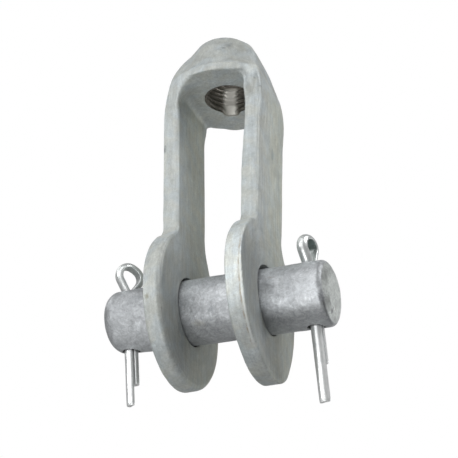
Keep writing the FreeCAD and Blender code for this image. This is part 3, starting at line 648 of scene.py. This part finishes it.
step = 0.42
P, Q = field_mesh(bar, (-47.2, -13.9, -13.9), (47.2, 13.9, 13.9), step)
P = settle(bar, P)
N = vertex_normals(P, Q)
rough = waves(23, (2.6, 7.0), 34)
swell = waves(29, (9, 26), 16)
clear = ramp(np.hypot(P[:, 0] - np.where(P[:, 0] > 0, 37.5, -38.4), P[:, 1]), 3.5, 5.0)
P = P + N * (0.035 * rough(*P.T) + 0.03 * swell(*P.T))[:, None] * clear[:, None]
N = vertex_normals(P, Q)
rho = np.hypot(P[:, 1], P[:, 2])
# masks for the bevel band at the right end and the inside of the cross holes
bevel = ramp(rho, 7.8, 8.6) * (1 - ramp(rho, 12.0, 12.6)) * ramp(P[:, 0], 42.8, 43.6) * ramp(N[:, 0], 0.4, 0.7)
bored = (1 - ramp(np.hypot(P[:, 0] - np.where(P[:, 0] > 0, 37.5, -38.4), P[:, 1]), 3.45, 3.9)) * (1 - ramp(rho, 12.5, 12.9))
c, s = math.cos(ROLL), math.sin(ROLL)
turn = np.array([[1, 0, 0], [0, c, -s], [0, s, c]])
P = P @ turn.T + np.array([0, 0, EYE]) + sag(P[:, :1]) * SAG
N = N @ turn.T
# painted light and shade by facing: towards the far end lighter where the bar faces up and out, darker underneath
lit = N @ np.array([0, -0.525, 0.851])
far = ramp(P[:, 0], -30, -8)
painted_shading_tone = 1.03 + far * (0.07 + 0.16 * ramp(lit, 0.2, 0.9)) - (0.28 * far - 0.1) * ramp(-lit, 0.15, 0.85)
angle = np.degrees(np.arctan2(N[:, 2], -N[:, 1]))
hump = lambda at, width: np.exp(-((angle - at) / width) ** 2)
near_end, far_end = ramp(P[:, 0], 14, 22), ramp(-P[:, 0], 16, 24)
middle = 1 - near_end - far_end
# painted highlight bands and shade bands round the bar by angle, differently at the near end, middle and far end
painted_shading_tone = painted_shading_tone * (near_end * (0.86 + 0.42 * hump(-24, 13) - 0.24 * hump(-60, 20) + 0.14 * hump(-125, 25))
               + middle * (0.875 + 0.21 * hump(48, 26) + 0.06 * hump(-18, 12) - 0.17 * hump(-54, 24) + 0.08 * hump(-125, 25))
               + far_end * (0.90 - 0.26 * hump(-7, 13)))
# the veins are random grain in the zinc
veins = waves(37, (2.4, 7.5), 30)
painted_shading_tone = painted_shading_tone * (1 + (0.05 * far_end + 0.035 * middle) * veins(*P.T))
end = ramp(N[:, 0], 0.75, 0.95)
painted_shading_tone = painted_shading_tone + (1.42 - painted_shading_tone) * end
# painted shade over the highlight on the rounded edge by the right end's bevel
painted_shading_tone = painted_shading_tone * (1 - 0.42 * ramp(P[:, 0], 41.6, 43.2) * ramp(N[:, 0], 0.08, 0.25) * (1 - ramp(N[:, 0], 0.93, 0.99)) * hump(16, 26))
# the bevel band darker, partly its own duller finish and partly painted shade by angle; painted shade inside the
# cross holes
painted_shading_tone = painted_shading_tone * (1 - bevel * (0.10 + 0.50 * hump(-47, 17) + 0.14 * hump(-85, 26))) * (1 - 0.8 * bored)
ob = make_mesh("pin_bar", P * MM, Q, bar_k.mat, N, {"painted_shading_tone": painted_shading_tone, "end": end})
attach(ob, "pin")
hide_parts("clevis_pin")

# ---------------------------------------------------------------- the cotters

def wire_path(long_leg, short_leg, eye_r, eye_z):
    """Route of the wire in its own plane: long leg, eye and short leg, with straight strands below the eye."""
    gap, neck, z0 = 0.30, 2.9, 11.6
    # angle at which a strand leaves the neck so that it meets the eye on a tangent
    lo, hi = 0.05, 1.2
    for _ in range(50):
        a = (lo + hi) / 2
        x, z = gap + neck * (1 - math.cos(a)), z0 + neck * math.sin(a)
        # distance of the eye's centre from the strand's line, on its inner side
        d = -(0 - x) * math.cos(a) + (eye_z - z) * math.sin(a)
        if d < eye_r:
            lo = a
        else:
            hi = a
    x, z = gap + neck * (1 - math.cos(a)), z0 + neck * math.sin(a)
    tx, tz = eye_r * math.cos(a), eye_z - eye_r * math.sin(a)
    n = max(2, int(math.hypot(tx - x, tz - z) / 0.4))
    right = [(gap, v) for v in np.linspace(-long_leg, z0, int((long_leg + z0) / 0.5))]
    right += [(gap + neck * (1 - math.cos(t)), z0 + neck * math.sin(t)) for t in np.linspace(0, a, 10)[1:]]
    right += [(x + (tx - x) * t, z + (tz - z) * t) for t in np.linspace(0, 1, n)[1:]]
    over = [(eye_r * math.cos(t), eye_z + eye_r * math.sin(t)) for t in np.linspace(-a, math.pi + a, 56)[1:]]
    left = [(-px, pz) for px, pz in right[::-1][1:] if pz > z0]
    left += [(-gap, v) for v in np.linspace(z0, -short_leg, int((short_leg + z0) / 0.5))]
    return np.array(right + over + left)


def half_round(radius, corner, count):
    """Section of the wire: (out, across) points of a half disc with softened corners, flat at out = 0."""
    t = np.linspace(-math.pi / 2, math.pi / 2, count)
    pts = [(radius * math.cos(v), radius * math.sin(v)) for v in t]
    pts = [(max(o, 0), a) for o, a in pts]
    ring = []
    for o, a in pts:
        k = min(1.0, o / corner) if corner else 1.0
        ring.append((o + (1 - k) * 0.12, a * (1 - 0.06 * (1 - k))))
    m = count // 2
    ring += [(0.0, radius * 0.86 * (1 - 2 * i / (m - 1))) for i in range(m)]
    return np.array(ring)


def cotter(name, body, x, twist, lean, long_leg, short_leg, eye_z, bulge):
    """Half-round wire swept along its route; bulge widens and lowers the eye on the short leg's side."""
    route = wire_path(long_leg, short_leg, 3.1, eye_z)
    far = ramp(-route[:, 0], 0, 3.1) * ramp(route[:, 1], 11.6, 14.0)
    route = route + bulge * np.stack([-0.9 * far, -0.8 * far], 1)
    d = np.gradient(route, axis=0)
    d /= np.linalg.norm(d, axis=1)[:, None]
    n = np.stack([d[:, 1], -d[:, 0]], 1)
    ring = half_round(2.45, 0.5, 22)
    m = len(ring)
    count = len(route)
    size = np.ones(count)
    size[[0, -1]] = 0.84
    route[1], route[-2] = route[0] + d[0] * 0.12, route[-1] - d[-1] * 0.12
    size[[1, -2]] = 0.95
    out = 1 + (ring[None, :, 0] - 1) * size[:, None]
    P = np.stack([route[:, None, 0] + n[:, None, 0] * out, ring[None, :, 1] * size[:, None],
                  route[:, None, 1] + n[:, None, 1] * out], -1).reshape(-1, 3)
    i, j = np.meshgrid(np.arange(count - 1), np.arange(m), indexing="ij")
    q = np.stack([i * m + j, i * m + (j + 1) % m, (i + 1) * m + (j + 1) % m, (i + 1) * m + j], -1).reshape(-1, 4)
    e = np.arange(m // 2 - 1)
    cap0 = np.stack([e, m - 1 - e, m - 2 - e, e + 1], 1)
    cap1 = cap0[:, ::-1] + (count - 1) * m
    q = np.concatenate([q, cap0, cap1])
    swell = waves(int(41 + x), (3.0, 11.0), 14)
    P = P + vertex_normals(P, q) * (0.03 * swell(*P.T))[:, None]
    N = vertex_normals(P, q)
    tw, le = math.radians(twist), math.radians(lean)
    rz = np.array([[math.cos(tw), -math.sin(tw), 0], [math.sin(tw), math.cos(tw), 0], [0, 0, 1]])
    ry = np.array([[math.cos(le), 0, math.sin(le)], [0, 1, 0], [-math.sin(le), 0, math.cos(le)]])
    m3 = turn @ ry @ rz
    P = P @ m3.T + np.array([x, 0, EYE]) + sag(x) * SAG
    N = N @ m3.T
    # painted shade: the eye's flat inner face darker, more on the right cotter, and the whole eye dimmed to hold
    # down its highlights
    inner = (ring[None, :, 0] < 0.05) * ramp(route[:, None, 1], eye_z - 1.5, eye_z + 1.5) * (0.75 if x > 0 else 0.25)
    inner = np.clip(inner + 0.22 * ramp(route[:, None, 1], 12, 15), 0, 0.85)
    ob = make_mesh(name, P * MM, q, wire_k.mat, N, {"inner": inner.ravel()})
    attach(ob, body)
    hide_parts("cotter_pin_left" if x < 0 else "cotter_pin_right")


cotter("wire_left", "cotter_left", -38.4, 225, 0.3, 34.0, 25.6, 18.7, 1.0)
cotter("wire_right", "cotter_right", 37.4, 253, -2.5, 42.1, 27.1, 19.1, 0.0)

# ---------------------------------------------------------------- floor, light and camera

AZ, EL, TILT, DIST, FOCAL = 21.24, -30.13, 0.96, 0.6860, 1725.2
TARGET = Vector((0.00244, 0.0005, -0.0853))
az, el, tilt = (math.radians(v) for v in (AZ, EL, TILT))
back = Vector((math.sin(az) * math.cos(el), -math.cos(az) * math.cos(el), math.sin(el)))
right = (-back).cross(Vector((0, 0, 1))).normalized()
up = right.cross(-back).normalized()
right2 = right * math.cos(tilt) + up * math.sin(tilt)
up2 = up * math.cos(tilt) - right * math.sin(tilt)
cam = bpy.data.objects.new("camera", bpy.data.cameras.new("camera"))
bpy.context.scene.collection.objects.link(cam)
m = Matrix((right2, up2, back)).transposed().to_4x4()
m.translation = TARGET + back * DIST
cam.matrix_world = m
cam.data.sensor_fit = "HORIZONTAL"
cam.data.sensor_width = 36.0
cam.data.lens = FOCAL / 458 * 36
cam.data.clip_start = 0.01
cam.data.clip_end = 50
bpy.context.scene.camera = cam

world = bpy.data.worlds.new("studio")
bpy.context.scene.world = world
world.use_nodes = True
nt = world.node_tree
nt.nodes.clear()
wo = nt.nodes.new("ShaderNodeOutputWorld")
seen = nt.nodes.new("ShaderNodeBackground")
seen.inputs[0].default_value = (1, 1, 1, 1)
seen.inputs[1].default_value = 1.0
glow = nt.nodes.new("ShaderNodeBackground")
glow.inputs[0].default_value = (1.0, 1.0, 1.0, 1)
glow.inputs[1].default_value = 0.25
pick = nt.nodes.new("ShaderNodeMixShader")
path = nt.nodes.new("ShaderNodeLightPath")
nt.links.new(path.outputs["Is Camera Ray"], pick.inputs[0])
nt.links.new(glow.outputs[0], pick.inputs[1])
nt.links.new(seen.outputs[0], pick.inputs[2])
nt.links.new(pick.outputs[0], wo.inputs[0])


def lamp(name, at, aim, size, power, colour=(1, 1, 1)):
    data = bpy.data.lights.new(name, "AREA")
    data.shape = "RECTANGLE"
    data.size, data.size_y = size
    data.energy = power
    data.color = colour
    ob = bpy.data.objects.new(name, data)
    bpy.context.scene.collection.objects.link(ob)
    ob.location = at
    ob.rotation_euler = (Vector(aim) - Vector(at)).to_track_quat("-Z", "Y").to_euler()
    return ob


def around(azimuth, elevation, distance):
    a, e = math.radians(azimuth), math.radians(elevation)
    return TARGET + Vector((math.sin(a) * math.cos(e), -math.cos(a) * math.cos(e), math.sin(e))) * distance


for i, (a, e, power) in enumerate([(-5, -55, 6.0), (75, 45, 7.0), (-40, 10, 3.9), (-5, 45, 1.9), (-80, 45, 1.7),
                                   (130, 0, 1.6), (-5, 10, 1.5), (-80, -55, 1.2), (180, 15, 0.9), (-5, -20, 0.8)]):
    lamp("lamp_%d" % i, around(a, e, 1.1), TARGET, (0.6, 0.6), power)

k = Nodes("pale_floor")
k.link(k.mix(k.span(k.noise(k.scaled(1.0), 6.0, 4), 0.3, 0.7), (0.80, 0.80, 0.79), (0.84, 0.84, 0.83)),
       k.bsdf.inputs["Base Color"])
k.bsdf.inputs["Roughness"].default_value = 0.8
floor_z = -0.95
S = 3.0
floor = make_mesh("floor", np.array([[-S, -S, floor_z], [S, -S, floor_z], [S, S, floor_z], [-S, S, floor_z]]),
                  np.array([[0, 1, 2, 3]]), k.mat)

bpy.context.scene.view_settings.view_transform = "Standard"
